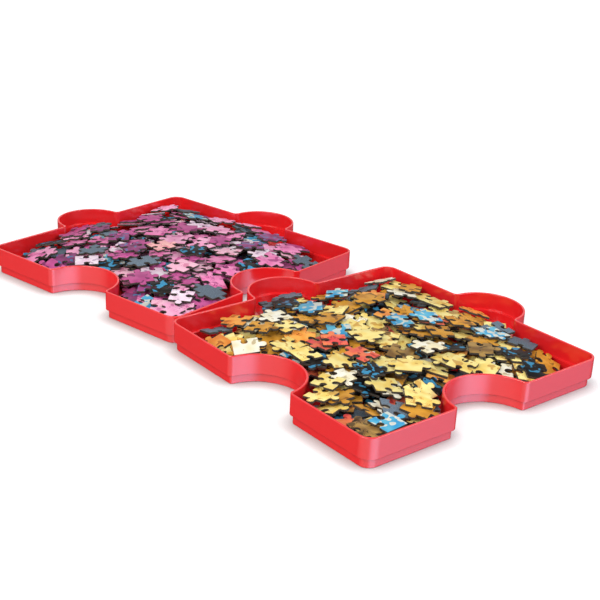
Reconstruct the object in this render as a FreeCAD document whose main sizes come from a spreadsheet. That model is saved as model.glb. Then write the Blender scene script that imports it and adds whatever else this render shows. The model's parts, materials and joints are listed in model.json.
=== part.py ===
"""Two jigsaw sorting trays side by side, each filled with a heap of loose puzzle pieces.

Each tray is one moulding in the outline of a jigsaw piece: tabs on two sides, sockets on the other
two, so that trays lock edge to edge and their stepped feet nest into the rim of the tray below.
Lengths are millimetres and angles degrees.  The origin is the middle of the front tray's underside,
+X goes towards its right-hand socket side, +Y towards its back tab side and +Z up.
"""
import FreeCAD, Part
import cmath
import functools
import math
import os
import random
import Sketcher

DOC = FreeCAD.newDocument("puzzle_sorting_trays")

# ---------------------------------------------------------------- driving dimensions
SIZES = [
    ("side", 200.0, "length of a tray's side, tabs left out"),
    ("tray_height", 20.4, "table to the top of the rim"),
    ("foot_height", 6.2, "height of the inset foot"),
    ("wall", 1.6, "thickness of the upright walls"),
    ("floor_thickness", 1.6, "thickness of the floor and of the ledge"),
    ("nest_gap", 0.5, "play between a foot and the rim that it nests in"),
    ("corner_radius", 9.0, "rounding of a tray's four corners"),
    ("socket_radius", 29.0, "half round bite in two of the sides"),
    ("lock_gap", 1.0, "play between a tab and the socket that it locks into"),
    ("lip_radius", 4.0, "rounding where a socket meets its side"),
    ("root_radius", 3.0, "hollow rounding where a tab meets its side"),
    ("least_radius", 0.5, "smallest inside rounding that the mould has"),
    ("rim_radius", 0.5, "rounding of the rim's two edges"),
    ("shoulder_radius", 0.8, "rounding under the step in the wall"),
    ("foot_radius", 0.8, "rounding round the underside"),
    ("rear_turn", 11.4, "how far the rear tray is turned from square to the front one"),
    ("rear_gap", 0.8, "rear tray's rounded near corner to the front tray's side line"),
    ("tab_lip_gap", 2.4, "front tray's tab to the nearer lip of the rear tray's socket"),
    ("card_thickness", 1.7, "thickness of the puzzle's board"),
    ("piece_pitch", 16.6, "average width of a puzzle piece without its knobs"),
    ("piece_jitter", 1.1, "how far a piece's width strays from the average"),
    ("corner_jitter", 0.5, "how far the corners of a piece stray from square"),
    ("knob_radius", 2.35, "round head of a knob"),
    ("knob_reach", 2.8, "edge of a piece to the middle of a knob's head"),
    ("neck_radius", 0.8, "hollow rounding at a knob's neck"),
    ("least_web", 0.3, "board left between two neighbouring holes"),
    ("rest_gap", 0.25, "clearance between a piece and what it lies on"),
    ("wall_gap", 0.5, "least clearance between a piece and a wall"),
    ("crown_height", 19.2, "top of the heap at its crown"),
    ("socket_bank", 15.5, "top of the heap along the two socket walls"),
    ("back_bank", 12.0, "top of the heap along the back tab wall"),
    ("left_bank", 11.5, "top of the heap along the left tab wall"),
    ("bank_width", 75.0, "distance over which the heap falls from its crown to a wall"),
    ("left_bare", 15.0, "reach of the bare floor in a tray's left corner"),
    ("right_bare", 24.0, "reach of the bare floor in a tray's right corner"),
    ("back_spill", 20.0, "how far the heap spills into the back tab"),
    ("left_spill", 34.0, "how far the heap spills into the left tab"),
]


def make_sheet():
    """The spreadsheet that every size is read from."""
    sheet = DOC.addObject("Spreadsheet::Sheet", "sizes")
    for row, (alias, number, note) in enumerate(SIZES, start=1):
        sheet.set("A%d" % row, alias)
        sheet.set("B%d" % row, "%g" % number)
        sheet.set("C%d" % row, note)
        sheet.setAlias("B%d" % row, alias)
    DOC.recompute()
    return sheet


SHEET = make_sheet()


@functools.lru_cache(maxsize=None)
def worth(expression):
    """The number that an expression of the sheet's sizes gives."""
    return float(SHEET.evalExpression(expression))


def size(alias):
    return worth("sizes." + alias)


# Expressions that several features share.
FOOT_INSET = "sizes.wall + sizes.nest_gap"
LEDGE_TOP = "sizes.foot_height + sizes.floor_thickness"
TAB_RADIUS = "sizes.socket_radius - sizes.lock_gap"

# ---------------------------------------------------------------- trays
SIDES = ["socket", "socket", "tab", "tab"]  # front (-Y), right (+X), back (+Y), left (-X)


class Outline:
    """A tray's closed outline in a sketch, moved inwards by an expression of the sheet.

    It runs anticlockwise.  Side number k is drawn as the front side turned by k quarter turns, so
    each point is first worked out as one on the front side.
    """

    def __init__(self, sketch, inset):
        self.sketch = sketch
        self.inset = inset
        self.links = []  # (geometry number, point it starts at, point it ends at)

    def bind(self, constraint, expression):
        number = self.sketch.addConstraint(constraint)
        self.sketch.setExpression("Constraints[%d]" % number, expression)

    def line(self, side, start, end, half):
        points = [turned(point, side) for point in (start, end)]
        number = self.sketch.addGeometry(Part.LineSegment(points[0], points[1]))
        self.links.append((number, 1, 2))
        self.sketch.addConstraint(Sketcher.Constraint("Vertical" if side % 2 else "Horizontal", number))
        along = "DistanceX" if side % 2 else "DistanceY"
        ends = (number, 1, -1, 1) if side in (0, 3) else (-1, 1, number, 1)
        self.bind(Sketcher.Constraint(along, *ends, worth(half)), half)

    def arc(self, side, centre, first, last, radius):
        """An arc from the angle first to the angle last, clockwise where last is the smaller."""
        clockwise = last < first
        low, high = math.radians(min(first, last)), math.radians(max(first, last))
        spin = math.radians(90 * side)
        circle = Part.Circle(turned(centre, side), FreeCAD.Vector(0, 0, 1), worth(radius))
        number = self.sketch.addGeometry(Part.ArcOfCircle(circle, low + spin, high + spin))
        self.links.append((number, 2, 1) if clockwise else (number, 1, 2))
        self.bind(Sketcher.Constraint("Radius", number, worth(radius)), radius)
        return number

    def centre_on_side(self, number, side):
        """The middle of a tab or a socket lies on the side line, halfway along it."""
        self.sketch.addConstraint(Sketcher.Constraint("PointOnObject", number, 3, -1 if side % 2 else -2))
        along = "DistanceX" if side % 2 else "DistanceY"
        ends = (number, 3, -1, 1) if side in (0, 3) else (-1, 1, number, 3)
        self.bind(Sketcher.Constraint(along, *ends, worth("sizes.side / 2")), "sizes.side / 2")

    def one_side(self, side):
        """Line, rounding, tab or socket, rounding, line, and the corner at the side's far end."""
        out = 1 if SIDES[side] == "tab" else -1
        half = "sizes.side / 2 - (%s)" % self.inset
        corner = "max(sizes.corner_radius - (%s); sizes.least_radius)" % self.inset
        if out > 0:
            bend = "sizes.root_radius + (%s)" % self.inset
            bow = "%s - (%s)" % (TAB_RADIUS, self.inset)
        else:
            bend = "max(sizes.lip_radius - (%s); sizes.least_radius)" % self.inset
            bow = "sizes.socket_radius + (%s)" % self.inset
        middle = -worth("sizes.side / 2")
        edge = -worth(half)
        bend_at = edge - out * worth(bend)
        reach = worth(bow) + worth(bend)
        bend_along = math.sqrt(reach ** 2 - (middle - bend_at) ** 2)
        lean = math.degrees(math.atan2(middle - bend_at, bend_along))
        limit = worth(half) - worth(corner)
        self.line(side, (-limit, edge), (-bend_along, edge), half)
        self.arc(side, (-bend_along, bend_at), 90 * out, lean, bend)
        bow_end = 360 - lean if out > 0 else -lean
        bowed = self.arc(side, (0, middle), 180 + lean, bow_end, bow)
        self.centre_on_side(bowed, side)
        self.arc(side, (bend_along, bend_at), 180 - lean, 180 - 90 * out, bend)
        self.line(side, (bend_along, edge), (limit, edge), half)
        self.arc(side, (limit, edge + worth(corner)), -90, 0, corner)

    def draw(self):
        for side in range(len(SIDES)):
            self.one_side(side)
        for here, after in zip(self.links, self.links[1:] + self.links[:1]):
            self.sketch.addConstraint(Sketcher.Constraint("Tangent", here[0], here[2], after[0], after[1]))
        self.sketch.solve()


def turned(point, side):
    """A point of the front side, turned by side quarter turns."""
    at = complex(*point) * 1j ** side
    return FreeCAD.Vector(at.real, at.imag, 0)


def outline_at(body, name, inset, height):
    """A sketch of the outline in the body, moved inwards by inset, lying at the given height."""
    sketch = body.newObject("Sketcher::SketchObject", name)
    base = [plane for plane in body.Origin.OriginFeatures if plane.Role == "XY_Plane"][0]
    sketch.AttachmentSupport = [(base, "")]
    sketch.MapMode = "FlatFace"
    sketch.setExpression("AttachmentOffset.Base.z", height)
    Outline(sketch, inset).draw()
    return sketch


def extruded(body, kind, name, inset, height, length):
    """A pad that rises from the outline, or a pocket that sinks from it."""
    sketch = outline_at(body, name + "_outline", inset, height)
    feature = body.newObject(kind, name)
    feature.Profile = sketch
    feature.setExpression("Length", length)
    DOC.recompute()
    return feature


def rounded(body, name, level, radius):
    """A fillet on every edge of the body's tip that lies at one level."""
    base = body.Tip
    edges = []
    for number, edge in enumerate(base.Shape.Edges, start=1):
        box = edge.BoundBox
        if max(abs(box.ZMin - worth(level)), abs(box.ZMax - worth(level))) < 1e-4:
            edges.append("Edge%d" % number)
    feature = body.newObject("PartDesign::Fillet", name)
    feature.Base = (base, edges)
    feature.setExpression("Radius", radius)
    DOC.recompute()


def make_tray(label):
    """One moulding: a shell with a deep rim, stepped in at the bottom to a foot."""
    body = DOC.addObject("PartDesign::Body", label)
    body.Label = label
    top = "sizes.tray_height"
    upper = top + " - sizes.foot_height"
    extruded(body, "PartDesign::Pad", label + "_rim_block", "0", "sizes.foot_height", upper)
    rounded(body, label + "_shoulder", "sizes.foot_height", "sizes.shoulder_radius")
    extruded(body, "PartDesign::Pad", label + "_foot_block", FOOT_INSET, "0", "sizes.foot_height")
    rounded(body, label + "_foot_edge", "0", "sizes.foot_radius")
    extruded(body, "PartDesign::Pocket", label + "_mouth", "sizes.wall", top, top + " - (%s)" % LEDGE_TOP)
    well = "(%s) + sizes.wall" % FOOT_INSET
    extruded(body, "PartDesign::Pocket", label + "_well", well, top, top + " - sizes.floor_thickness")
    rounded(body, label + "_rim_edge", top, "min(sizes.rim_radius; sizes.wall / 3)")
    return body


def rear_placement():
    """Where the rear tray lies: turned a little, with the front tray's left tab partly in its socket.

    Its near corner keeps rear_gap from the front tray's side line, and the nearer lip of its socket
    keeps tab_lip_gap from the tab.  Each depends on the other, so both are settled in turns.
    """
    turn = math.radians(size("rear_turn"))
    rounded_off = size("corner_radius") * (math.cos(turn) + math.sin(turn) - 1)
    half = worth("sizes.side / 2")
    tab = worth(TAB_RADIUS)
    aside = 0.0
    for _ in range(12):
        out = ((half - aside) * math.sin(turn) + size("rear_gap") - rounded_off) / math.cos(turn)
        chord = math.sqrt(max(0.0, tab ** 2 - out ** 2))
        aside = size("socket_radius") - size("tab_lip_gap") - chord
    facing = complex(math.cos(turn), math.sin(turn))
    middle = -half - facing * complex(out + half, -aside)
    spin = FreeCAD.Rotation(FreeCAD.Vector(0, 0, 1), size("rear_turn"))
    return FreeCAD.Placement(FreeCAD.Vector(middle.real, middle.imag, 0), spin)


# ---------------------------------------------------------------- puzzle pieces
class Piece:
    """One puzzle piece: its outline as lines and arcs, in complex numbers about its middle."""

    # How often a side has a knob, a hole for one, or is straight as at the puzzle's edge.
    KINDS = [(1, 0.47), (-1, 0.47), (0, 0.06)]
    OFF_MIDDLE = 0.03  # how far a knob strays from the middle of its side, as a share of the side
    SAMPLE = 0.7  # spacing of the points that stand for the outline

    def __init__(self, dice):
        self.curves = []  # (first point, point on the way, last point), the middle one None in a line
        self.rim = []
        corners = self.corners(dice)
        kinds, shares = zip(*self.KINDS)
        for start, end in zip(corners, corners[1:] + corners[:1]):
            self.add_side(start, end, dice.choices(kinds, shares)[0], dice)
        self.inside = self.filled(1.0)
        self.middle = sum(self.inside) / len(self.inside)

    @staticmethod
    def corners(dice):
        spread = size("piece_jitter")
        wide = size("piece_pitch") + dice.uniform(-spread, spread)
        deep = size("piece_pitch") + dice.uniform(-spread, spread)
        stray = size("corner_jitter")
        corners = [complex(wide, deep), complex(-wide, deep), complex(-wide, -deep), complex(wide, -deep)]
        return [corner / 2 + complex(dice.uniform(-stray, stray), dice.uniform(-stray, stray))
                for corner in corners]

    def add_side(self, start, end, kind, dice):
        """A straight side, or one with a knob: out of the piece for kind 1, into it for kind -1."""
        length = abs(end - start)
        along = (end - start) / length

        def placed(u, v):
            return start + along * complex(u, -v * kind)

        if kind == 0:
            self.add_line(start, end)
            return
        neck = size("neck_radius") * dice.uniform(0.9, 1.2)
        reach = size("knob_reach") * dice.uniform(0.94, 1.06)
        # Two holes in neighbouring sides leave a web of board between them.
        room = (length * (0.5 - self.OFF_MIDDLE) - reach) / math.sqrt(2) - size("least_web")
        head = min(size("knob_radius") * dice.uniform(0.92, 1.06), room)
        reach = min(reach, head + neck)
        middle = length * (0.5 + dice.uniform(-self.OFF_MIDDLE, self.OFF_MIDDLE))
        aside = math.sqrt((head + neck) ** 2 - (reach - neck) ** 2)
        lean = math.atan2(reach - neck, aside)
        self.add_line(start, placed(middle - aside, 0))
        self.add_arc(placed, (middle - aside, neck), neck, -math.pi / 2, lean)
        self.add_arc(placed, (middle, reach), head, math.pi + lean, -lean)
        self.add_arc(placed, (middle + aside, neck), neck, math.pi - lean, math.pi * 1.5)
        self.add_line(placed(middle + aside, 0), end)

    def add_line(self, start, end):
        self.curves.append((start, None, end))
        steps = math.ceil(abs(end - start) / self.SAMPLE)
        self.rim += [start + (end - start) * step / steps for step in range(steps)]

    def add_arc(self, placed, centre, radius, first, last):
        steps = math.ceil(abs(last - first) * radius / self.SAMPLE)
        angles = [first + (last - first) * step / steps for step in range(steps)]
        points = [placed(centre[0] + radius * math.cos(angle), centre[1] + radius * math.sin(angle))
                  for angle in angles + [(first + last) / 2, last]]
        self.curves.append((points[0], points[-2], points[-1]))
        self.rim += points[:steps]

    def filled(self, spacing):
        """Points of a square grid that lie inside the outline."""
        rows = {}
        for here, after in zip(self.rim, self.rim[1:] + self.rim[:1]):
            low, high = sorted((here.imag, after.imag))
            for row in range(math.ceil(low / spacing), math.ceil(high / spacing)):
                share = (row * spacing - here.imag) / (after.imag - here.imag)
                rows.setdefault(row, []).append(here.real + (after.real - here.real) * share)
        points = []
        for row, crossings in rows.items():
            crossings.sort()
            for enter, leave in zip(crossings[::2], crossings[1::2]):
                for column in range(math.ceil(enter / spacing), math.floor(leave / spacing) + 1):
                    points.append(complex(column, row) * spacing)
        return points

    def grown(self, margin):
        """Points that cover the piece and a margin round it."""
        points = self.filled(self.SAMPLE)
        for here, after in zip(self.rim, self.rim[1:] + self.rim[:1]):
            outwards = -1j * (after - here) / abs(after - here)
            points += [here, here + outwards * margin]
        return points

    def solid(self):
        """The piece cut from its board, lying on the plane z = 0."""
        edges = []
        for first, way, last in self.curves:
            ends = [FreeCAD.Vector(point.real, point.imag, 0) for point in (first, last)]
            if way is None:
                edges.append(Part.LineSegment(*ends).toShape())
            else:
                between = FreeCAD.Vector(way.real, way.imag, 0)
                edges.append(Part.Arc(ends[0], between, ends[1]).toShape())
        return Part.Face(Part.Wire(edges)).extrude(FreeCAD.Vector(0, 0, size("card_thickness")))


class Plane:
    """Height as a plane over the tray's plan."""

    def __init__(self, height, slope_x=0.0, slope_y=0.0):
        self.height = height
        self.slope_x = slope_x
        self.slope_y = slope_y
        self.stretch = math.sqrt(1 + slope_x ** 2 + slope_y ** 2)

    def at(self, point):
        return self.height + self.slope_x * point.real + self.slope_y * point.imag

    def raised(self, thickness):
        """The plane that lies this far above, measured square to both."""
        return Plane(self.height + thickness * self.stretch, self.slope_x, self.slope_y)


def shares_of(triangle, point):
    """How the point's place is shared between the triangle's corners, or None for a flat triangle."""
    first, second, third = [corner[0] for corner in triangle]
    across, down = second - first, third - first
    area = across.real * down.imag - across.imag * down.real
    if abs(area) < 1e-9:
        return None
    away = point - first
    second_share = (away.real * down.imag - away.imag * down.real) / area
    third_share = (across.real * away.imag - across.imag * away.real) / area
    return 1 - second_share - third_share, second_share, third_share


def resting_plane(points, middle):
    """The plane on which a flat piece comes to rest on the points, its weight acting at middle.

    Each point is (place, height).  The piece stands on three of them that surround its middle, with
    none above it: a triangle of supports climbs from far below until nothing sticks out of it.
    """
    far, deep = 1000.0, -1000.0
    supports = [(middle + far * complex(0, 1) ** (k * 4 / 3), deep) for k in range(3)]
    for _ in range(60):
        plane = plane_through(supports)
        height, slope_x, slope_y = plane.height, plane.slope_x, plane.slope_y
        excess, place, top = max((z - height - slope_x * p.real - slope_y * p.imag, k, z)
                                 for k, (p, z) in enumerate(points))
        if excess < 1e-6:
            return plane
        best = None
        for drop in range(3):
            trial = supports[:drop] + supports[drop + 1:] + [points[place]]
            shares = shares_of(trial, middle)
            if shares is None or min(shares) < -1e-9:
                continue
            level = sum(share * corner[1] for share, corner in zip(shares, trial))
            if best is None or level > best[0]:
                best = (level, trial)
        if best is None:
            return None
        supports = best[1]
    return None


def plane_through(triangle):
    """The plane through three (place, height) points."""
    (first, low), (second, middle), (third, high) = triangle
    across, down = second - first, third - first
    area = across.real * down.imag - across.imag * down.real
    slope_x = ((middle - low) * down.imag - (high - low) * across.imag) / area
    slope_y = ((high - low) * across.real - (middle - low) * down.real) / area
    return Plane(low - slope_x * first.real - slope_y * first.imag, slope_x, slope_y)


def inside_outline(place, inset):
    """Whether a place in the plan lies inside a tray's outline moved inwards by inset."""
    half = worth("sizes.side / 2")
    for side, feature in enumerate(SIDES):
        at = place * (-1j) ** side  # as a place beside the front side
        from_middle = abs(at + 1j * half)
        if feature == "tab" and from_middle < worth(TAB_RADIUS) - inset:
            return True
    for side, feature in enumerate(SIDES):
        at = place * (-1j) ** side
        if at.imag < inset - half:
            return False
        if feature == "socket" and not clear_of_socket(at + 1j * half, inset):
            return False
        corner = complex(half - size("corner_radius"), size("corner_radius") - half)
        past = at - corner
        if past.real > 0 > past.imag and abs(past) > size("corner_radius") - inset:
            return False
    return True


def clear_of_socket(at, inset):
    """Whether a place, given from the socket's middle, lies behind its wall and its rounded lips."""
    if abs(at) < size("socket_radius") + inset:
        return False
    lip = size("lip_radius")
    reach = size("socket_radius") + lip
    lip_centre = complex(math.sqrt(reach ** 2 - lip ** 2), lip)
    from_lip = complex(abs(at.real), at.imag) - lip_centre
    return from_lip.real > 0 or from_lip.imag > 0 or abs(from_lip) < max(lip - inset, 0)


class Ground:
    """What a falling piece lands on: for each square cell of the tray's plan, the plane on top of it.

    A cell holds (height, slope_x, slope_y, the piece that lies there), or None where a wall stands.
    """

    CELL = 1.0

    def __init__(self):
        reach = worth("sizes.side / 2") + worth(TAB_RADIUS)
        self.low = -reach - self.CELL
        self.count = math.ceil(2 * reach / self.CELL) + 2
        clear = size("wall") + size("wall_gap") + self.CELL * math.sqrt(0.5)
        step_in = worth(FOOT_INSET)
        floor = (size("floor_thickness"), 0.0, 0.0, None)
        ledge = (worth(LEDGE_TOP), 0.0, 0.0, None)
        self.cells = []
        for column in range(self.count):
            for row in range(self.count):
                place = complex(column + 0.5, row + 0.5) * self.CELL + complex(self.low, self.low)
                if not inside_outline(place, clear):
                    self.cells.append(None)
                elif inside_outline(place, clear + step_in):
                    self.cells.append(floor)
                else:
                    self.cells.append(ledge)

    def cell_number(self, place):
        column = int((place.real - self.low) / self.CELL)
        row = int((place.imag - self.low) / self.CELL)
        return column * self.count + row

    def height(self, place):
        cell = self.cells[self.cell_number(place)]
        return None if cell is None else cell[0] + cell[1] * place.real + cell[2] * place.imag

    def bare_spots(self):
        """The middles of the cells where the tray still shows though the heap's shape covers them."""
        spots = []
        for number, cell in enumerate(self.cells):
            if cell is None or cell[3] is not None:
                continue
            column, row = divmod(number, self.count)
            place = complex(column + 0.5, row + 0.5) * self.CELL + complex(self.low, self.low)
            if mound(place) - cell[0] > 1.5 * size("card_thickness"):
                spots.append(place)
        return spots

    def low_spot(self, dice, depth):
        """A random place where the heap is still at least depth short of its shape."""
        for _ in range(80):
            place = complex(dice.uniform(self.low, -self.low), dice.uniform(self.low, -self.low))
            height = self.height(place)
            if height is not None and mound(place) - height > depth:
                return place
        return None

    def settle(self, piece, place, yaw):
        """The piece laid to rest over a place, or None where it would meet a wall or lie too steep."""
        turn = cmath.rect(1, yaw)
        shift = place - turn * piece.middle
        cells, low, count, cell_size = self.cells, self.low, self.count, self.CELL
        points = []
        for own in piece.rim + piece.inside:
            point = own * turn + shift
            cell = cells[int((point.real - low) / cell_size) * count + int((point.imag - low) / cell_size)]
            if cell is None:
                return None
            points.append((point, cell[0] + cell[1] * point.real + cell[2] * point.imag))
        plane = resting_plane(points, place)
        if plane is None or plane.stretch > Laid.STEEPEST:
            return None
        return Laid(piece, place, yaw, plane.raised(size("rest_gap")))

    def cover(self, laid):
        """Makes the laid piece the top of the cells that it covers."""
        turn = cmath.rect(1, laid.yaw)
        shift = laid.place - turn * laid.piece.middle
        top = (laid.top.height, laid.top.slope_x, laid.top.slope_y, laid)
        for own in laid.piece.grown(Laid.MARGIN):
            number = self.cell_number(own * turn + shift)
            below = self.cells[number]
            if below is None:
                continue
            if below[3] is not None and below[3] is not laid:
                below[3].free = False
            self.cells[number] = top


class Laid:
    """A piece at rest in the heap: its middle over a place, its underside in a plane."""

    STEEPEST = 1 / math.cos(math.radians(27))
    MARGIN = 0.6  # kept clear round a piece, because a tilted piece's edges lean

    def __init__(self, piece, place, yaw, bottom):
        self.piece = piece
        self.place = place
        self.yaw = yaw
        self.bottom = bottom
        self.top = bottom.raised(size("card_thickness"))
        self.free = True  # nothing lies on it
        self.seen = 0  # cells of the heap's surface that it makes up

    def stands_out(self):
        """How far the piece's highest point stands out of the shape that the heap is to have."""
        turn = cmath.rect(1, self.yaw)
        shift = self.place - turn * self.piece.middle
        places = [own * turn + shift for own in self.piece.rim]
        return max(self.top.at(place) - mound(place) for place in places)

    def shape(self):
        normal = FreeCAD.Vector(-self.bottom.slope_x, -self.bottom.slope_y, 1)
        up = FreeCAD.Vector(0, 0, 1)
        rotation = FreeCAD.Rotation(up, normal).multiply(FreeCAD.Rotation(up, math.degrees(self.yaw)))
        half = size("card_thickness") / 2
        height = self.bottom.at(self.place) + half * self.bottom.stretch
        middle = FreeCAD.Vector(self.place.real, self.place.imag, height)
        own = FreeCAD.Vector(self.piece.middle.real, self.piece.middle.imag, half)
        solid = self.piece.solid()
        solid.Placement = FreeCAD.Placement(middle - rotation.multVec(own), rotation)
        return solid


def mound(place):
    """The height that the heap is to have at a place: a crown that falls off towards the walls."""
    half = worth("sizes.side / 2")
    crown = size("crown_height")
    walls = [
        (place.imag + half, size("socket_bank")),
        (half - place.real, size("socket_bank")),
        (half - place.imag, size("back_bank")),
        (place.real + half, size("left_bank")),
    ]
    fall = max((crown - bank) * (1 - min(max(depth, 0) / size("bank_width"), 1)) ** 2
               for depth, bank in walls)
    height = crown - fall
    height -= size("back_bank") * max(place.imag - half, 0) / size("back_spill")
    height -= size("left_bank") * max(-half - place.real, 0) / size("left_spill")
    for corner, bare in ((complex(-half, -half), "left_bare"), (complex(half, half), "right_bare")):
        height = min(height, size("floor_thickness") + abs(place - corner) - size(bare))
    return height


def drop(ground, piece, depth, dice):
    """The piece at rest near a random spot that is depth too low, slid off a wall if it meets one."""
    place = ground.low_spot(dice, depth)
    yaw = dice.uniform(0, 2 * math.pi)
    if place is None:
        return None
    for step in range(6):
        inwards = place * (1 - step * size("piece_pitch") / 8 / abs(place))
        laid = ground.settle(piece, inwards, yaw)
        if laid:
            return laid
    return None


def cover_spot(ground, spot, dice):
    """The piece that hides a bare spot and stands out least, or None if all of them stand out."""
    piece = Piece(dice)
    best = None
    for _ in range(10):
        stray = cmath.rect(dice.uniform(0, size("piece_pitch") / 3), dice.uniform(0, 2 * math.pi))
        laid = ground.settle(piece, spot + stray, dice.uniform(0, 2 * math.pi))
        if laid is None:
            continue
        above = laid.stands_out()
        if best is None or above < best[0]:
            best = (above, laid)
    if best is None or best[0] > 2.8 * size("card_thickness"):
        return None
    return best[1]


def lay_heap(seed):
    """Drops pieces one by one: to build the heap up to its shape, then to cover its pits.

    Last come the spots where the tray's floor still shows between pieces.
    """
    dice = random.Random(seed)
    ground = Ground()
    heap = []
    for short_by, stand_out, patience in ((1.0, 1.3, 90), (2.0, 2.0, 180)):
        misses = 0
        while misses < patience:
            piece = Piece(dice)
            trials = [drop(ground, piece, short_by * size("card_thickness"), dice) for _ in range(4)]
            trials = [(laid.stands_out(), k, laid) for k, laid in enumerate(trials) if laid]
            if not trials or min(trials)[0] > stand_out * size("card_thickness"):
                misses += 1
                continue
            laid = min(trials)[2]
            ground.cover(laid)
            heap.append(laid)
    spots = ground.bare_spots()
    dice.shuffle(spots)
    for spot in spots:
        if ground.cells[ground.cell_number(spot)][3] is None:
            laid = cover_spot(ground, spot, dice)
            if laid:
                ground.cover(laid)
                heap.append(laid)
    for cell in ground.cells:
        if cell and cell[3]:
            cell[3].seen += 1
    return heap


# ---------------------------------------------------------------- the two fillings
# Each filling is sorted by the colour of its print.  SHARES is how many pieces in a hundred have a
# colour; ACCENTS are places in the tray's plan where a large patch of a colour lies on top.
FRONT_SHARES = {
    "cream": 40, "amber": 18, "orange": 11, "ivory": 9, "coral": 3,
    "brown": 5, "black": 6, "blue": 4, "face_down": 4,
}
FRONT_ACCENTS = [
    ("coral", -18, 16), ("coral", -7, -40), ("coral", 23, -29), ("coral", 68, -75),
    ("blue", -38, 66), ("blue", -63, 0), ("blue", -14, -9),
    ("blue", 5, 53), ("blue", 16, 70), ("blue", 87, -77),
    ("ivory", -52, -28), ("ivory", 27, -53), ("ivory", 65, -56), ("ivory", 65, 40),
    ("black", 11, -57), ("black", 43, -44), ("black", 83, 68), ("brown", 42, 39),
    ("brown", 20, -1), ("amber", 22, 38), ("amber", 61, 77), ("amber", 43, -60),
    ("cream", -46, 14), ("cream", -55, -80), ("cream", -2, -6), ("cream", -20, 63),
    ("cream", 41, 17), ("cream", 47, -19), ("cream", 72, -22), ("cream", 91, 45),
]
REAR_SHARES = {
    "pale_pink": 30, "peach": 5, "rose": 16, "magenta": 17, "plum": 8,
    "white": 11, "black": 5, "blue": 4, "face_down": 4,
}
REAR_ACCENTS = [
    ("magenta", -28, 36), ("magenta", 13, 42), ("magenta", 21, -29), ("magenta", -12, -34),
    ("magenta", 52, 92), ("peach", -7, -2), ("peach", 35, 24), ("peach", 41, -16),
    ("blue", -49, 76), ("blue", -23, -1), ("blue", -22, -48), ("blue", 7, 79),
    ("white", -30, -35), ("white", 18, -48), ("white", 70, -54), ("white", 62, 44),
    ("black", 18, 2), ("black", 2, -40), ("black", 90, 78), ("plum", 34, 78),
    ("plum", 38, 50), ("plum", 39, -53), ("plum", 32, -83), ("pale_pink", -51, 12),
    ("pale_pink", -30, 75), ("pale_pink", 75, -70), ("rose", 68, -20), ("rose", -61, -28),
]
TIPPED_BAND = 26.0  # along the tab walls, where many pieces slid down face down
TIPPED_CHANCE = 0.35


def sorted_by_colour(heap, shares, accents, dice):
    """The heap's pieces under their colours, and the loose one at its crown under "top"."""
    crown = min((laid for laid in heap if laid.free), key=lambda laid: abs(laid.place))
    colour_of = {crown: "top"}
    patches = [laid for laid in heap if laid.seen > size("piece_pitch") ** 2 / 4]
    for colour, across, along in accents:
        spare = [laid for laid in patches if laid not in colour_of]
        if spare:
            nearest = min(spare, key=lambda laid: abs(laid.place - complex(across, along)))
            colour_of[nearest] = colour
    back = worth("sizes.side / 2") - TIPPED_BAND
    for laid in heap:
        tipped = dice.random() < TIPPED_CHANCE and max(laid.place.imag, -laid.place.real) > back
        drawn = dice.choices(list(shares), list(shares.values()))[0]
        colour_of.setdefault(laid, "face_down" if tipped else drawn)
    groups = {}
    for laid in heap:
        groups.setdefault(colour_of[laid], []).append(laid)
    return groups


def make_filling(tray, seed, shares, accents, placement):
    """One object for each colour of the tray's pieces."""
    heap = lay_heap(seed)
    groups = sorted_by_colour(heap, shares, accents, random.Random(seed))
    features = []
    for colour in ["top"] + list(shares):
        name = "%s_%s_%s" % (tray, colour, "piece" if colour == "top" else "pieces")
        feature = DOC.addObject("Part::Feature", name)
        feature.Label = name
        feature.Shape = Part.makeCompound([laid.shape() for laid in groups[colour]])
        feature.Placement = placement
        features.append(feature)
    print(tray, "pieces:", len(heap))
    return features


def export(sub_parts):
    """Writes each sub-part to parts/LABEL.step, once all are known to be sound."""
    DOC.recompute()
    for item in DOC.Objects:
        if "Invalid" in item.State or "Error" in item.State:
            raise RuntimeError("%s failed" % item.Label)
    for item in sub_parts:
        if item.Shape.isNull() or not item.Shape.isValid():
            raise RuntimeError("%s has no valid shape" % item.Label)
    os.makedirs("parts", exist_ok=True)
    for item in sub_parts:
        item.Shape.exportStep("parts/%s.step" % item.Label)


HERE = FreeCAD.Placement()
THERE = rear_placement()
front_tray = make_tray("front_tray")
rear_tray = make_tray("rear_tray")
rear_tray.Placement = THERE
front_filling = make_filling("front", 11, FRONT_SHARES, FRONT_ACCENTS, HERE)
rear_filling = make_filling("rear", 37, REAR_SHARES, REAR_ACCENTS, THERE)
export([front_tray, rear_tray] + front_filling + rear_filling)
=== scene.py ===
# %% [markdown]
# # Two jigsaw sorting trays, dressed for the camera
# The real object is a pair of glossy red sorting trays in the outline of a jigsaw piece. Each is
# one plastic moulding and holds a heap of loose puzzle pieces, pinks in the rear tray and yellows
# in the front one. The construction is already there as solids. This lesson gives the plastic its
# gloss, softens the die-cut edges of the board, prints each piece and lights the pair on a white
# table. Lengths are in metres, as Blender counts them, except where the text says millimetres.

# %% Load the frame
import json
import math
import random

import bmesh
import bpy
from mathutils import Matrix, Vector

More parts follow.
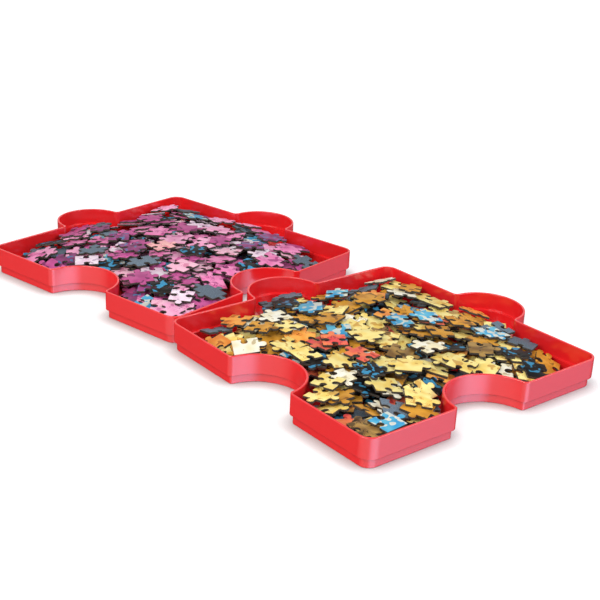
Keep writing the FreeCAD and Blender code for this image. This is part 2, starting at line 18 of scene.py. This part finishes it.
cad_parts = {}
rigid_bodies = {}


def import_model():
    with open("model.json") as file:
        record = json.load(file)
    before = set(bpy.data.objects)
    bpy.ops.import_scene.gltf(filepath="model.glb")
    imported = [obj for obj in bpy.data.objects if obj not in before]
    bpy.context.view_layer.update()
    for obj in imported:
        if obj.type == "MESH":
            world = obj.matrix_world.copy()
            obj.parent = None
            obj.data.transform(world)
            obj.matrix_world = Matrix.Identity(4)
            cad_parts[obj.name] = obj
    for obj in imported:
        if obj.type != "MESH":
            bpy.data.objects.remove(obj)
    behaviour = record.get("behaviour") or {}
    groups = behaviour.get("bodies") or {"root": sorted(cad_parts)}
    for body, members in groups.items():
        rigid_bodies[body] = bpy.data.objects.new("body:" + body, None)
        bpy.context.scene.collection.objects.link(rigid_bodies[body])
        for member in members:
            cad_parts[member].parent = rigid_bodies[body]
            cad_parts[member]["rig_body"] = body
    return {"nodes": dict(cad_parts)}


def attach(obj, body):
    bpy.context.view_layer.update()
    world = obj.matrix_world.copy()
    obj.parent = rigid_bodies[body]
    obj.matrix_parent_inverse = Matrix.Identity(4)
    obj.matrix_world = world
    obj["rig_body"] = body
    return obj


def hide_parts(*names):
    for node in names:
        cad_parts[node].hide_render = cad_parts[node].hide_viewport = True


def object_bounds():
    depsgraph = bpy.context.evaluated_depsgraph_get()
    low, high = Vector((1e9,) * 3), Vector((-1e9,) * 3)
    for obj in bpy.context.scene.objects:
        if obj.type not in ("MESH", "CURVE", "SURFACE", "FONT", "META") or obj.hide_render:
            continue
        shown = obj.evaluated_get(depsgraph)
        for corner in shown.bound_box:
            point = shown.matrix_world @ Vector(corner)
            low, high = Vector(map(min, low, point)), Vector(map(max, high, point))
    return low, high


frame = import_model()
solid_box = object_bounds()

MM = 0.001
NODES = frame["nodes"]
print("nodes in the frame:", len(NODES))

# %% [markdown]
# ## Colours and shader nodes
# Colours are written as sRGB hex values, the way a paint chart gives them. Blender's shaders count
# in linear light, so one function turns every colour once, along the curve that sRGB lays down. A
# second small function adds any shader node with its settings and its links, so that each material
# below reads from top to bottom. A third begins a material with an empty tree.

# %% Colour and node helpers


def linear(hex_colour):
    """An sRGB hex colour as linear red, green, blue and alpha."""
    channels = [int(hex_colour[place:place + 2], 16) / 255 for place in (1, 3, 5)]
    return [c / 12.92 if c <= 0.04045 else ((c + 0.055) / 1.055) ** 2.4 for c in channels] + [1.0]


def add_node(tree, kind, inputs=None, **settings):
    """Adds a shader node, sets its properties, and fills or links its inputs."""
    made = tree.nodes.new(kind)
    for name, value in settings.items():
        setattr(made, name, value)
    for name, value in (inputs or {}).items():
        if isinstance(value, bpy.types.NodeSocket):
            tree.links.new(value, made.inputs[name])
        else:
            made.inputs[name].default_value = value
    return made


def new_material(name):
    """A material with nothing in it but its output node."""
    material = bpy.data.materials.new(name)
    material.use_nodes = True
    material.node_tree.nodes.clear()
    output = material.node_tree.nodes.new("ShaderNodeOutputMaterial")
    return material, material.node_tree, output


print("middle grey in linear light:", round(linear("#808080")[0], 3))

# %% [markdown]
# ## The camera
# A fairly long lens that stands back from the table keeps the sides of the trays almost parallel.
# The camera's place, the point it looks at, a slight roll and a small shift of the frame fix the
# view. Standard is the view transform that shows a colour about as it is written.

# %% Camera
CAMERA_PLACE = Vector((0.4979, -0.4858, 0.3244))
CAMERA_AIM = Vector((-0.1080, -0.0075, 0.0))
CAMERA_ROLL = math.radians(2.2)
CAMERA_LENS = 69.1  # millimetres, on Blender's own 36 mm sensor
FRAME_SHIFT = (0.05, 0.025)  # to the right and up, as a share of the frame

camera_data = bpy.data.cameras.new("camera")
camera_data.lens = CAMERA_LENS
camera_data.shift_x, camera_data.shift_y = FRAME_SHIFT
camera = bpy.data.objects.new("camera", camera_data)
bpy.context.scene.collection.objects.link(camera)
looking = (CAMERA_AIM - CAMERA_PLACE).to_track_quat("-Z", "Y").to_matrix().to_4x4()
roll = Matrix.Rotation(CAMERA_ROLL, 4, "Z")
camera.matrix_world = Matrix.Translation(CAMERA_PLACE) @ looking @ roll
bpy.context.scene.camera = camera
bpy.context.scene.view_settings.view_transform = "Standard"
print("camera to table distance in metres:", round((CAMERA_AIM - CAMERA_PLACE).length, 3))

# %% [markdown]
# ## The table
# The trays stand on a white sweep, as in a catalogue. One flat sheet is enough for it, so wide that
# its edges stay out of sight. Mirrored rays pass through the sheet, because the gloss of the trays
# comes from cards that a later step sets up below the horizon.

# %% Table top
TABLE_WIDTH = 14.0

table_mesh = bpy.data.meshes.new("table")
table_build = bmesh.new()
bmesh.ops.create_grid(table_build, x_segments=1, y_segments=1, size=TABLE_WIDTH / 2)
table_build.to_mesh(table_mesh)
table_build.free()
table = bpy.data.objects.new("table", table_mesh)
bpy.context.scene.collection.objects.link(table)
table.visible_glossy = False
print("table width in metres:", TABLE_WIDTH)

# %% [markdown]
# The camera sees the table as paper white. Near the trays a part of that white is paint, which
# takes their soft shadow, and the rest is a glow. Farther out the glow takes over, until only white
# is left. An ambient occlusion node dims the glow where the trays stand close, which draws a
# contact shadow about a centimetre wide. Bounced light meets a plain pale grey.

# %% Table paint
TABLE_FOCUS = Vector((-0.12, 0.0, 0.0))  # under the middle of the pair
SHADOW_FADES = (0.34, 0.75)  # distances from the focus where the fading begins and ends
GLOW = (0.62, 1.0)  # its strength at those two distances
CONTACT_SHADOW = 11 * MM
CONTACT_DEPTH = 1.9  # the power that deepens the contact shadow
SEEN_GREY, BOUNCE_GREY = "#BCBCBC", "#C4C4C4"  # the paint for the camera and for bounced light

table_paint, tree, output = new_material("matt_white_table")
rays = add_node(tree, "ShaderNodeLightPath")
place = add_node(tree, "ShaderNodeTexCoord").outputs["Object"]
away = add_node(tree, "ShaderNodeVectorMath", {0: place, 1: TABLE_FOCUS}, operation="DISTANCE")
whiter = add_node(tree, "ShaderNodeMapRange", {
    "Value": away.outputs["Value"], "From Min": SHADOW_FADES[0], "From Max": SHADOW_FADES[1],
    "To Min": GLOW[0], "To Max": GLOW[1]})
corner = add_node(tree, "ShaderNodeAmbientOcclusion", {"Distance": CONTACT_SHADOW}, samples=8)
deeper = add_node(tree, "ShaderNodeMath", {0: corner.outputs["AO"], 1: CONTACT_DEPTH},
                  operation="POWER")
glow = add_node(tree, "ShaderNodeMath", {0: deeper.outputs[0], 1: whiter.outputs["Result"]},
                operation="MULTIPLY")
paper = add_node(tree, "ShaderNodeEmission", {
    "Color": linear("#FFFFFF"), "Strength": glow.outputs[0]})
shadowed = add_node(tree, "ShaderNodeBsdfDiffuse", {"Color": linear(SEEN_GREY)})
camera_sees = add_node(tree, "ShaderNodeAddShader", {0: shadowed.outputs[0], 1: paper.outputs[0]})
matt = add_node(tree, "ShaderNodeBsdfDiffuse", {"Color": linear(BOUNCE_GREY)})
both = add_node(tree, "ShaderNodeMixShader", {
    "Fac": rays.outputs["Is Camera Ray"], 1: matt.outputs[0], 2: camera_sees.outputs[0]})
tree.links.new(both.outputs[0], output.inputs["Surface"])
table_mesh.materials.append(table_paint)
print("contact shadow in millimetres:", round(CONTACT_SHADOW / MM, 1))

# %% [markdown]
# ## The light
# An even white sky gives the level. The camera sees it as pure white, and everything else receives
# half of that, so that no pale print clips.

# %% Sky
SKY_LEVEL = 0.5

world = bpy.data.worlds.new("white_sweep")
bpy.context.scene.world = world
world.use_nodes = True
tree = world.node_tree
tree.nodes.clear()
rays = add_node(tree, "ShaderNodeLightPath")
level = add_node(tree, "ShaderNodeMapRange", {
    "Value": rays.outputs["Is Camera Ray"], "To Min": SKY_LEVEL, "To Max": 1.0})
sky = add_node(tree, "ShaderNodeBackground", {
    "Color": linear("#FFFFFF"), "Strength": level.outputs["Result"]})
print("sky level on the trays:", SKY_LEVEL)

# %% [markdown]
# What makes moulded plastic look glossy is what its walls mirror, and an upright wall seen from
# above mirrors what lies low before it. A photographer stands white cards there. Here a ring of
# cards below the horizon, seen in the gloss only, stands for them: a cool bright one on the right,
# paler ones round the front, and none behind. It draws an upright band of light on each rounded
# corner and socket. Each stop of the ring is a compass angle, a strength and a tint. The angle is
# in degrees, 0 along the x axis and 90 along the y axis.

# %% Reflector cards
CARDS = [
    (-180, 0.03, "#FFFFFF"), (-135, 0.04, "#FFFFFF"), (-98, 0.20, "#FFFFFF"),
    (-42, 0.30, "#F2F6FF"), (-20, 0.90, "#CFE0FF"), (0, 1.00, "#CBE0FF"),
    (16, 0.96, "#CBE0FF"), (34, 0.64, "#CBE0FF"), (52, 0.34, "#CBE0FF"),
    (70, 0.13, "#CBE0FF"), (94, 0.05, "#E6F0FF"), (180, 0.03, "#FFFFFF"),
]
CARDS_STRENGTH = 3.7

heading = add_node(tree, "ShaderNodeSeparateXYZ", {
    0: add_node(tree, "ShaderNodeTexCoord").outputs["Generated"]})
compass = add_node(tree, "ShaderNodeMath", {0: heading.outputs["Y"], 1: heading.outputs["X"]},
                   operation="ARCTAN2")
turn = add_node(tree, "ShaderNodeMapRange", {
    "Value": compass.outputs[0], "From Min": -math.pi, "From Max": math.pi})
ring = add_node(tree, "ShaderNodeValToRGB", {"Fac": turn.outputs["Result"]})
stops = ring.color_ramp.elements  # it starts with one stop at each end
for angle, strength, tint in CARDS:
    ends = {-180: 0, 180: len(stops) - 1}
    stop = stops[ends[angle]] if angle in ends else stops.new((angle + 180) / 360)
    stop.color = [strength * part for part in linear(tint)[:3]] + [1.0]
cards = add_node(tree, "ShaderNodeBackground", {
    "Color": ring.outputs["Color"], "Strength": CARDS_STRENGTH})
low = add_node(tree, "ShaderNodeMath", {0: heading.outputs["Z"], 1: 0.0}, operation="LESS_THAN")
in_gloss = add_node(tree, "ShaderNodeMath", {0: low.outputs[0], 1: rays.outputs["Is Glossy Ray"]},
                    operation="MULTIPLY")
around = add_node(tree, "ShaderNodeMixShader", {
    "Fac": in_gloss.outputs[0], 1: sky.outputs[0], 2: cards.outputs[0]})
add_node(tree, "ShaderNodeOutputWorld", {"Surface": around.outputs[0]})
print("stops in the ring of cards:", len(stops))

# %% [markdown]
# One broad soft box stands beside the camera, a bluish one on the right stands for the window, and
# a low strip behind the trays draws the pale line along their rims. Each is given by its compass
# angle and its height above the horizon in degrees, its distance, width and height in metres, its
# power in watts and its colour.

# %% Soft boxes
SOFT_BOXES = {
    "camera_box": (-80, 38, 1.8, 1.3, 1.1, 21.5, "#FFFDFA"),
    "window_box": (35, 36, 1.8, 1.4, 0.9, 16.5, "#EEF3FF"),
    "rim_strip": (140, 22, 1.6, 1.6, 0.30, 0.8, "#FFFFFF"),
}

for name, (azimuth, elevation, distance, width, height, power, colour) in SOFT_BOXES.items():
    lamp_data = bpy.data.lights.new(name, "AREA")
    lamp_data.shape = "RECTANGLE"
    lamp_data.size, lamp_data.size_y = width, height
    lamp_data.energy = power
    lamp_data.color = linear(colour)[:3]
    lamp = bpy.data.objects.new(name, lamp_data)
    bpy.context.scene.collection.objects.link(lamp)
    turn, rise = math.radians(azimuth), math.radians(elevation)
    across = math.cos(rise)
    direction = Vector((across * math.cos(turn), across * math.sin(turn), math.sin(rise)))
    lamp.location = TABLE_FOCUS + direction * distance
    lamp.rotation_euler = (-direction).to_track_quat("-Z", "Y").to_euler()
    print("lamp:", name, "watts:", power)

# %% [markdown]
# ## The tray plastic
# The trays are injection-moulded polystyrene with the red pigment right through, straight from a
# polished mould. That gives a saturated body colour under a clear, slightly wavy gloss. Very
# shallow waves from shrinking, tens of millimetres long, bend the reflections, and fine handling
# scuffs, a few millimetres long and less, break the gloss a little. The specular level is above the
# usual 0.5, so that a wall seen from straight in front shines nearly as much as one seen aslant.

# %% Tray plastic
TRAY_RED = "#EE2428"
SHRINK_WAVES = 35 * MM
WAVE_DEPTH = 0.2 * MM
SCUFFS = 4 * MM
SCUFFED = (0.4, 0.7)  # the noise values of the cleanest and the most scuffed places
TRAY_ROUGHNESS = (0.17, 0.21)  # the roughness at those two


def moulded_polystyrene():
    """Glossy injection-moulded polystyrene, coloured through."""
    material, tree, output = new_material("moulded_red_polystyrene")
    place = add_node(tree, "ShaderNodeTexCoord").outputs["Object"]
    waves = add_node(tree, "ShaderNodeTexNoise", {
        "Vector": place, "Scale": 1 / SHRINK_WAVES, "Detail": 1.0})
    scuffs = add_node(tree, "ShaderNodeTexNoise", {
        "Vector": place, "Scale": 1 / SCUFFS, "Detail": 4.0})
    roughness = add_node(tree, "ShaderNodeMapRange", {
        "Value": scuffs.outputs["Fac"], "From Min": SCUFFED[0], "From Max": SCUFFED[1],
        "To Min": TRAY_ROUGHNESS[0], "To Max": TRAY_ROUGHNESS[1]})
    wavy = add_node(tree, "ShaderNodeBump", {
        "Height": waves.outputs["Fac"], "Strength": 0.3, "Distance": WAVE_DEPTH})
    shader = add_node(tree, "ShaderNodeBsdfPrincipled", {
        "Base Color": linear(TRAY_RED), "Roughness": roughness.outputs["Result"], "IOR": 1.55,
        "Specular IOR Level": 0.85, "Normal": wavy.outputs["Normal"]})
    tree.links.new(shader.outputs[0], output.inputs["Surface"])
    return material


TRAY_PLASTIC = moulded_polystyrene()
print("tray material:", TRAY_PLASTIC.name)

# %% [markdown]
# ## From a solid to a piece
# A solid comes from the frame as loose triangles, and shading each one flat would show them in the
# gloss. So the solid is copied, its doubled corners are merged, and triangles that lie nearly in
# one plane become one face again. Then every edge that turns gently is shaded smooth, and the
# others stay sharp. The finished mesh takes the place of the solid and moves with its body.

# %% Helpers for every piece
SAME_CORNER = 0.001 * MM


def merged_copy(node, flat_limit):
    """A bmesh of a node with its doubled corners merged and faces within flat_limit joined."""
    build = bmesh.new()
    build.from_mesh(NODES[node].data)
    bmesh.ops.remove_doubles(build, verts=build.verts, dist=SAME_CORNER)
    bmesh.ops.dissolve_limit(build, angle_limit=flat_limit, use_dissolve_boundaries=False,
                             verts=build.verts, edges=build.edges)
    return build


def shade_by_angle(build, smooth_limit):
    """Smooth faces, with a sharp line wherever two of them meet at more than smooth_limit."""
    for face in build.faces:
        face.smooth = True
    for edge in build.edges:
        edge.smooth = len(edge.link_faces) == 2 and edge.calc_face_angle() < smooth_limit


def place_piece(build, name, node, materials):
    """Turns a bmesh into the piece that stands for a node and moves with the node's body."""
    mesh = bpy.data.meshes.new(name)
    build.to_mesh(mesh)
    build.free()
    for material in materials:
        mesh.materials.append(material)
    piece = bpy.data.objects.new(name, mesh)
    bpy.context.scene.collection.objects.link(piece)
    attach(piece, NODES[node]["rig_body"])
    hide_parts(node)
    return piece


print("front tray as it comes, triangles:", len(NODES["front_tray"].data.polygons))

# %% [markdown]
# ## The trays
# The mouldings keep the exact shape of their solids, so only faces in one plane are joined. Normals
# weighted by face area keep the broad walls flat beside their small fillets, and the reflections in
# them straight.

# %% Trays
ONE_PLANE = math.radians(0.5)
TRAY_SMOOTH_LIMIT = math.radians(35)

for tray in ("front_tray", "rear_tray"):
    build = merged_copy(tray, ONE_PLANE)
    shade_by_angle(build, TRAY_SMOOTH_LIMIT)
    print(tray, "faces:", len(build.faces))
    name = tray.replace("tray", "moulding")
    piece = place_piece(build, name, tray, [TRAY_PLASTIC])
    weighted = piece.modifiers.new("broad_faces_first", "WEIGHTED_NORMAL")
    weighted.keep_sharp = True

# %% [markdown]
# ## The puzzle board
# A puzzle piece is grey recycled board, 1.7 mm thick, with a printed and varnished paper glued on
# top. The die that cuts it presses the paper down over the upper edge, which leaves a small soft
# roll there, while the lower edge stays sharp. Three finishes follow from that: the print, the cut
# edge with its layers of fibre, and the plain blue-grey back.
#
# The cut edge comes first. It is matt and dark between its neighbours, partly from real shade and
# partly from painted shade: its tones are darker than grey board. Layers 0.65 mm thick run along
# it, which a sine of the depth in millimetres draws, and pressed fibres break them up.

# %% Cut edge
BOARD_PLY = 0.65
PLY_CONTRAST = 0.22
FIBRES = 0.7 * MM
FIBRE_RELIEF = 0.06 * MM
# Both tones are painted shade, darker than the grey board, for the gaps between the pieces.
PAINTED_SHADE_EDGE_TONES = [(0.25, "#2C2620"), (0.75, "#5A5148")]  # a value of the pattern and its tone


def cut_board_edge():
    """Die-cut recycled grey board: matt, thin layers of pressed fibre, darkened by painted shade.
    """
    material, tree, output = new_material("die_cut_grey_board")
    depth = add_node(tree, "ShaderNodeAttribute", attribute_name="board_depth").outputs["Fac"]
    place = add_node(tree, "ShaderNodeTexCoord").outputs["Object"]
    fibres = add_node(tree, "ShaderNodeTexNoise", {
        "Vector": place, "Scale": 1 / FIBRES, "Detail": 2.0})
    ply = add_node(tree, "ShaderNodeMath", {0: depth, 1: 2 * math.pi / BOARD_PLY},
                   operation="MULTIPLY")
    layer = add_node(tree, "ShaderNodeMath", {0: ply.outputs[0]}, operation="SINE")
    mixed = add_node(tree, "ShaderNodeMath", {
        0: layer.outputs[0], 1: PLY_CONTRAST, 2: fibres.outputs["Fac"]}, operation="MULTIPLY_ADD")
    colour = add_node(tree, "ShaderNodeValToRGB", {"Fac": mixed.outputs[0]})
    for stop, (position, tone) in zip(colour.color_ramp.elements, PAINTED_SHADE_EDGE_TONES):
        stop.position, stop.color = position, linear(tone)
    rough = add_node(tree, "ShaderNodeBump", {
        "Height": mixed.outputs[0], "Strength": 0.5, "Distance": FIBRE_RELIEF})
    shader = add_node(tree, "ShaderNodeBsdfPrincipled", {
        "Base Color": colour.outputs["Color"], "Roughness": 0.85, "IOR": 1.45,
        "Normal": rough.outputs["Normal"]})
    tree.links.new(shader.outputs[0], output.inputs["Surface"])
    return material


CUT_EDGE = cut_board_edge()
print("edge material:", CUT_EDGE.name)

# %% [markdown]
# The back is uncoated blue-grey paper. Specks of recycled fibre 0.8 mm across mottle it, and each
# piece is a little lighter or darker than the next, by a chance number of its own.

# %% Back of the board
SPECKS = 0.8  # millimetres, as the UV map is
BACK_TONES = [(0.3, "#465360"), (0.7, "#7A8B99")]
BACK_VALUES = (0.7, 1.12)  # of the darkest and the lightest piece


def board_back():
    """The unprinted back: blue-grey paper, matt, with specks of recycled fibre."""
    material, tree, output = new_material("blue_grey_board_back")
    along = add_node(tree, "ShaderNodeUVMap", uv_map="board").outputs["UV"]
    chance = add_node(tree, "ShaderNodeAttribute", attribute_name="piece_chance").outputs["Fac"]
    specks = add_node(tree, "ShaderNodeTexNoise", {
        "Vector": along, "Scale": 1 / SPECKS, "Detail": 3.0})
    colour = add_node(tree, "ShaderNodeValToRGB", {"Fac": specks.outputs["Fac"]})
    for stop, (position, tone) in zip(colour.color_ramp.elements, BACK_TONES):
        stop.position, stop.color = position, linear(tone)
    value = add_node(tree, "ShaderNodeMapRange", {
        "Value": chance, "To Min": BACK_VALUES[0], "To Max": BACK_VALUES[1]})
    shaded = add_node(tree, "ShaderNodeHueSaturation", {
        "Color": colour.outputs["Color"], "Value": value.outputs["Result"]})
    shader = add_node(tree, "ShaderNodeBsdfPrincipled", {
        "Base Color": shaded.outputs["Color"], "Roughness": 0.7, "IOR": 1.45})
    tree.links.new(shader.outputs[0], output.inputs["Surface"])
    return material


BOARD_BACK = board_back()
print("back material:", BOARD_BACK.name)

# %% [markdown]
# ## The print
# Each piece shows a scrap of a picture, too small to tell what it was. One tone drifts softly into
# a second over about 10 mm, as a painted wash does. Crisp islands of a deeper colour a few
# millimetres wide cross some pieces, with a thin contour here and there. For each slot the three
# tones are the main one, the one it drifts into, and that of the islands and contours. The last
# slot is for the pieces that lie face down, whose print is underneath.

# %% Inks
PRINTS = {
    "cream_print": ("#FBE996", "#F3D069", "#C98E35"),
    "amber_print": ("#E0A036", "#C58522", "#6E4516"),
    "orange_print": ("#F6AC4E", "#EC8A34", "#A8541E"),
    "ivory_print": ("#FAF6E4", "#F3E6BC", "#B9A372"),
    "coral_print": ("#E8504E", "#F08250", "#A82E34"),
    "brown_print": ("#B08A48", "#7C5B30", "#2C1D0E"),
    "black_print": ("#0C0909", "#1A1310", "#3E9CC8"),
    "blue_print": ("#3498C8", "#62B4CE", "#E6DEC6"),
    "pale_pink_print": ("#F7B3D1", "#F29CC3", "#C0568E"),
    "peach_print": ("#F5B4CB", "#F2C0CF", "#CE6E92"),
    "rose_print": ("#EC8EBB", "#DE6CA4", "#96306E"),
    "magenta_print": ("#CE5C9A", "#B64887", "#5C1A4A"),
    "plum_print": ("#9A447C", "#6E2A58", "#3886B2"),
    "white_print": ("#F5E4ED", "#EBC6DA", "#A88AA4"),
    "front_top_print": ("#FBE996", "#F6DB7E", "#C98E35"),
    "rear_top_print": ("#F7AFB2", "#F8C4B6", "#D27488"),
    "grey_board": ("#D9A08C", "#C58522", "#6E4516"),
}
print("sets of inks:", len(PRINTS))

# %% [markdown]
# Two noise textures draw all of it. The first drives the wash. The second is like a relief map:
# what rises above its shore line is an island, so a lower shore gives larger islands, and one
# height on it is the contour line. Three prints whose islands are of another colour have a lower
# shore. In a mix node of colours, socket 0 is the factor, 6 and 7 are the two colours, and output 2
# is the result.

# %% The picture
WASH, ISLAND = 10.0, 5.5
DRIFT = (0.4, 0.64)  # the noise values where the second tone sets in and where it is alone
SHORE = 0.66
LOWER_SHORES = {"black_print": 0.60, "blue_print": 0.54, "plum_print": 0.63}
SHORE_BLUR = 0.02
ISLAND_COVER = 0.75  # the ink of an island lets a quarter of the wash through
CONTOUR, CONTOUR_HALF_WIDTH = 0.6, 0.012
WITHOUT_CONTOUR = 0.6  # the share of the pieces that have no contour


def printed_picture(tree, slot, along, chance):
    """The colour of a print: a wash of two tones, with islands and contours of a third."""
    main, second, deep = [linear(colour) for colour in PRINTS[slot]]
    wash = add_node(tree, "ShaderNodeTexNoise", {
        "Vector": along, "Scale": 1 / WASH, "Detail": 1.0})
    drift = add_node(tree, "ShaderNodeMapRange", {
        "Value": wash.outputs["Fac"], "From Min": DRIFT[0], "From Max": DRIFT[1]})
    painted = add_node(tree, "ShaderNodeMix", {0: drift.outputs["Result"], 6: main, 7: second},
                       data_type="RGBA")
    relief = add_node(tree, "ShaderNodeTexNoise", {
        "Vector": along, "Scale": 1 / ISLAND, "Detail": 0.0, "Distortion": 0.8})
    shore = LOWER_SHORES.get(slot, SHORE)
    island = add_node(tree, "ShaderNodeMapRange", {
        "Value": relief.outputs["Fac"], "From Min": shore, "From Max": shore + SHORE_BLUR,
        "To Max": ISLAND_COVER})
    on_line = add_node(tree, "ShaderNodeMath", {
        0: relief.outputs["Fac"], 1: CONTOUR, 2: CONTOUR_HALF_WIDTH}, operation="COMPARE")
    has_line = add_node(tree, "ShaderNodeMath", {0: chance, 1: WITHOUT_CONTOUR},
                        operation="GREATER_THAN")
    contour = add_node(tree, "ShaderNodeMath", {0: on_line.outputs[0], 1: has_line.outputs[0]},
                       operation="MULTIPLY")
    inked = add_node(tree, "ShaderNodeMath", {0: island.outputs["Result"], 1: contour.outputs[0]},
                     operation="MAXIMUM")
    drawn = add_node(tree, "ShaderNodeMix", {0: inked.outputs[0], 6: painted.outputs[2], 7: deep},
                     data_type="RGBA")
    return drawn.outputs[2]


# %% [markdown]
# The printed paper has a thin satin varnish, so it is half matt and mirrors little. The picture
# lies in the plane of each piece, on its own UV map in millimetres, so it tilts as the piece does,
# and every piece is a little lighter or darker than the next.

# %% Printed paper
PRINT_VALUES = (0.84, 1.06)  # of the darkest and the lightest piece


def printed_paper(slot):
    """Offset-printed paper under a thin satin varnish."""
    material, tree, output = new_material("varnished_" + slot)
    along = add_node(tree, "ShaderNodeUVMap", uv_map="board").outputs["UV"]
    chance = add_node(tree, "ShaderNodeAttribute", attribute_name="piece_chance").outputs["Fac"]
    value = add_node(tree, "ShaderNodeMapRange", {
        "Value": chance, "To Min": PRINT_VALUES[0], "To Max": PRINT_VALUES[1]})
    shaded = add_node(tree, "ShaderNodeHueSaturation", {
        "Color": printed_picture(tree, slot, along, chance), "Value": value.outputs["Result"]})
    shader = add_node(tree, "ShaderNodeBsdfPrincipled", {
        "Base Color": shaded.outputs["Color"], "Roughness": 0.45, "IOR": 1.48,
        "Specular IOR Level": 0.22})
    tree.links.new(shader.outputs[0], output.inputs["Surface"])
    return material


printed_papers = {slot: printed_paper(slot) for slot in PRINTS}
print("printed papers:", len(printed_papers))

# %% [markdown]
# ## Dressing the pieces
# A colour group comes as one mesh with dozens of loose pieces in it. They stay in one mesh, because
# they share their inks and move together. Each is found in it by walking over its faces from one to
# the next, and the broadest face of it that looks up is its top.

# %% Finding the pieces
UPWARDS = 0.7  # the least height of a normal that looks up, where 1 is straight up


def loose_pieces(build):
    """The faces of each loose piece, as a list of lists."""
    waiting = set(build.faces)
    found = []
    while waiting:
        first = waiting.pop()
        reached, edge_of_walk = [first], [first]
        while edge_of_walk:
            face = edge_of_walk.pop()
            for edge in face.edges:
                for neighbour in edge.link_faces:
                    if neighbour in waiting:
                        waiting.remove(neighbour)
                        reached.append(neighbour)
                        edge_of_walk.append(neighbour)
        found.append(reached)
    return found


def upper_face(faces):
    """The broadest face of a loose piece that looks up."""
    looking_up = (face for face in faces if face.normal.z > UPWARDS)
    return max(looking_up, key=lambda face: face.calc_area())


# %% [markdown]
# Each piece carries what its finishes need. A chance number shifts its value. A UV map measured in
# millimetres lies in its plane, turned and moved by chance, so that no two pieces show the same
# scrap. Every corner knows how far it lies above or below the top. Faces level with the top take
# the print, those on the other side the plain back, and the walls the cut edge. Where a piece lies
# face down, print and back change places.

# %% Grain and finish of one piece
PRINT, EDGE, BACK = 0, 1, 2  # the places of the board's three materials on a mesh
LEVEL_WITH_TOP = 0.9  # the cosine within which a face counts as level with the top
SHEET = 500  # millimetres, the side of the sheet from which a scrap is drawn


def dress_piece(faces, top, face_down, chance, layers):
    """Gives the faces of one loose piece their chance number, UV map, depth and material."""
    chance_layer, depth_layer, grain_layer = layers
    share = chance.random()
    turn = chance.uniform(0, 2 * math.pi)
    offset = Vector((chance.uniform(0, SHEET), chance.uniform(0, SHEET)))
    normal, middle = top.normal.copy(), top.calc_center_median()
    sideways = normal.cross(Vector((math.cos(turn), math.sin(turn), 0))).normalized()
    upways = normal.cross(sideways)
    for face in faces:
        face[chance_layer] = share
        level = face.normal.dot(normal)
        if level > LEVEL_WITH_TOP:
            face.material_index = BACK if face_down else PRINT
        elif level < -LEVEL_WITH_TOP:
            face.material_index = PRINT if face_down else BACK
        else:
            face.material_index = EDGE
        for loop in face.loops:
            away = (loop.vert.co - middle) / MM
            loop[grain_layer].uv = Vector((away.dot(sideways), away.dot(upways))) + offset
            loop[depth_layer] = away.dot(normal)


# %% [markdown]
# The short facets of each knob are joined first, because a knob is only 5 mm across and there are
# hundreds of them. The rim of each top is bevelled by a quarter of a millimetre, the roll that the
# die leaves. Corners that the bevel brings together are merged, and corners that only two edges
# share are taken out, so that every piece stays one closed mesh and no edge is open.

# %% Dressing one colour group
FACET_LIMIT = math.radians(14)
BOARD_SMOOTH_LIMIT = math.radians(50)
ROLLED_EDGE = 0.28 * MM


def roll_edges(build, tops, finish):
    """Bevels the rim of every top, then clears away what the bevel leaves over."""
    rims = [edge for top in tops for edge in top.edges]
    bmesh.ops.bevel(build, geom=rims, offset=ROLLED_EDGE, offset_type="OFFSET", segments=2,
                    profile=0.5, affect="EDGES", material=finish, clamp_overlap=False,
                    loop_slide=True)
    bmesh.ops.remove_doubles(build, verts=build.verts, dist=SAME_CORNER)
    idle = [corner for corner in build.verts if len(corner.link_edges) == 2]
    bmesh.ops.dissolve_verts(build, verts=idle)


def dress_board(node, slot, face_down, seed):
    """The piece that stands for a node of puzzle pieces, with rolled edges, print and grain."""
    chance = random.Random(seed)
    build = merged_copy(node, FACET_LIMIT)
    layers = (build.faces.layers.float.new("piece_chance"),
              build.loops.layers.float.new("board_depth"),
              build.loops.layers.uv.new("board"))
    pieces = loose_pieces(build)
    pieces.sort(key=lambda faces: tuple(upper_face(faces).calc_center_median()))
    tops = [upper_face(faces) for faces in pieces]
    for faces, top in zip(pieces, tops):
        dress_piece(faces, top, face_down, chance, layers)
    roll_edges(build, tops, BACK if face_down else PRINT)
    shade_by_angle(build, BOARD_SMOOTH_LIMIT)
    open_edges = sum(len(edge.link_faces) != 2 for edge in build.edges)
    print(node, "pieces:", len(pieces), "faces:", len(build.faces), "open edges:", open_edges)
    name = node.replace("_pieces", "_board").replace("_top_piece", "_top_board")
    return place_piece(build, name, node, [printed_papers[slot], CUT_EDGE, BOARD_BACK])


# %% [markdown]
# Last, every group is dressed. A node's name says its tray and its colour, and the colour says
# which print it takes. The two top pieces are single ones that can be lifted off the heaps.

# %% Dress all the groups
for seed, node in enumerate(sorted(NODES)):
    if node.endswith("_tray"):
        continue
    colour = node.split("_", 1)[1].replace("_pieces", "")
    if colour == "face_down":
        slot = "grey_board"
    elif colour == "top_piece":
        slot = node.replace("_piece", "_print")
    else:
        slot = colour + "_print"
    dress_board(node, slot, colour == "face_down", seed)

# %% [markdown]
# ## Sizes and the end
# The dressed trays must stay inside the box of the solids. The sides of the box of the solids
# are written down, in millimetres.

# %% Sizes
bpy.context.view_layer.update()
sides = [round((high - low) / MM, 1) for low, high in zip(*solid_box)]
print("sides of the solids' box in millimetres:", sides)
